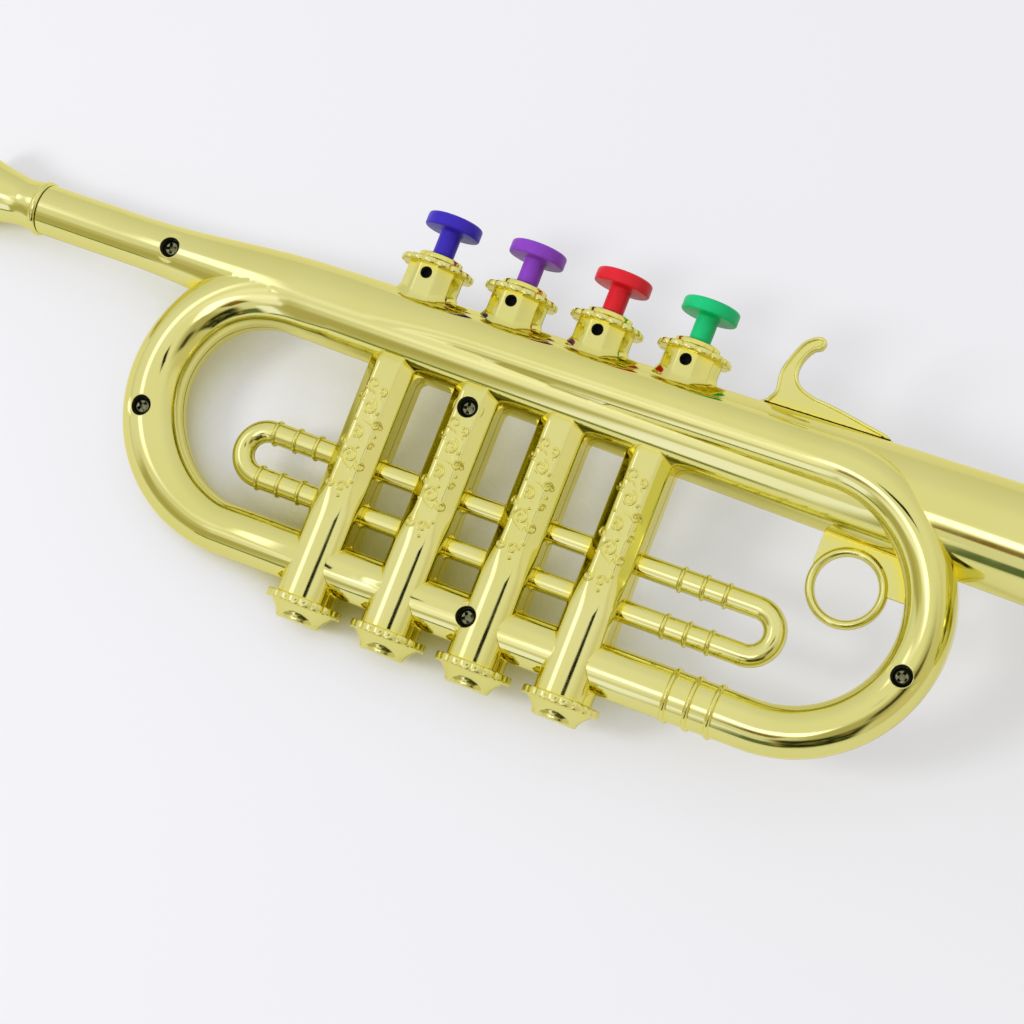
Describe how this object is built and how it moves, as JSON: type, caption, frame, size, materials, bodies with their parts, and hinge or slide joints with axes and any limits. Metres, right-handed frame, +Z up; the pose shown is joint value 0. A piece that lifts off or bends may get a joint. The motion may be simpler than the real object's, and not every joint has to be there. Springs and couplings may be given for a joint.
{
  "type": "toy trumpet",
  "caption": "Gold-plated plastic toy trumpet: looped tube, flared bell, mouthpiece, finger hook and ring, and coloured spring-return buttons over reed chambers, lying on its side.",
  "frame": {"origin": "centre of the bounding box's footprint, on the surface that the toy lies on", "axes": "+X along the length, towards the bell; +Y across, towards the button side; +Z up, out of the face with the screws. The toy lies tilted on its bell rim, its mouthpiece rim and one valve's bottom cap"},
  "size_m": [0.4268, 0.1392, 0.104],
  "materials": {
    "gold_plating": "vacuum-plated pale gold over moulded plastic, mirror gloss",
    "blue_plastic": "moulded, satin",
    "purple_plastic": "moulded, satin",
    "red_plastic": "moulded, satin",
    "green_plastic": "moulded, satin",
    "black_plastic": "moulded, plain",
    "steel": "bright zinc plated",
    "brass": "bare rolled strip"
  },
  "bodies": {
    "trumpet": {"front_shell": "gold_plating", "back_shell": "gold_plating", "mouthpiece": "gold_plating", "bell": "gold_plating", "shell_screw_1": "steel", "shell_screw_2": "steel", "shell_screw_3": "steel", "shell_screw_4": "steel", "shell_screw_5": "steel", "return_spring_1": "steel", "return_spring_2": "steel", "return_spring_3": "steel", "return_spring_4": "steel", "reed_block_1": "black_plastic", "reed_block_2": "black_plastic", "reed_block_3": "black_plastic", "reed_block_4": "black_plastic", "reed_1": "brass", "reed_2": "brass", "reed_3": "brass", "reed_4": "brass"},
    "blue_valve": {"button_1": "blue_plastic", "piston_1": "black_plastic"},
    "purple_valve": {"button_2": "purple_plastic", "piston_2": "black_plastic"},
    "red_valve": {"button_3": "red_plastic", "piston_3": "black_plastic"},
    "green_valve": {"button_4": "green_plastic", "piston_4": "black_plastic"}
  },
  "joints": [
    {"name": "blue_button_press", "type": "slide", "parent": "trumpet", "child": "blue_valve", "axis": [0.0182, -0.9812, -0.1921], "range_m": [0, 0.005], "stiffness_N_per_m": 150, "springref_m": -0.003, "deforming": ["return_spring_1"]},
    {"name": "purple_button_press", "type": "slide", "parent": "trumpet", "child": "purple_valve", "axis": [0.0182, -0.9812, -0.1921], "range_m": [0, 0.005], "stiffness_N_per_m": 150, "springref_m": -0.003, "deforming": ["return_spring_2"]},
    {"name": "red_button_press", "type": "slide", "parent": "trumpet", "child": "red_valve", "axis": [0.0182, -0.9812, -0.1921], "range_m": [0, 0.005], "stiffness_N_per_m": 150, "springref_m": -0.003, "deforming": ["return_spring_3"]},
    {"name": "green_button_press", "type": "slide", "parent": "trumpet", "child": "green_valve", "axis": [0.0182, -0.9812, -0.1921], "range_m": [0, 0.005], "stiffness_N_per_m": 150, "springref_m": -0.003, "deforming": ["return_spring_4"]}
  ]
}
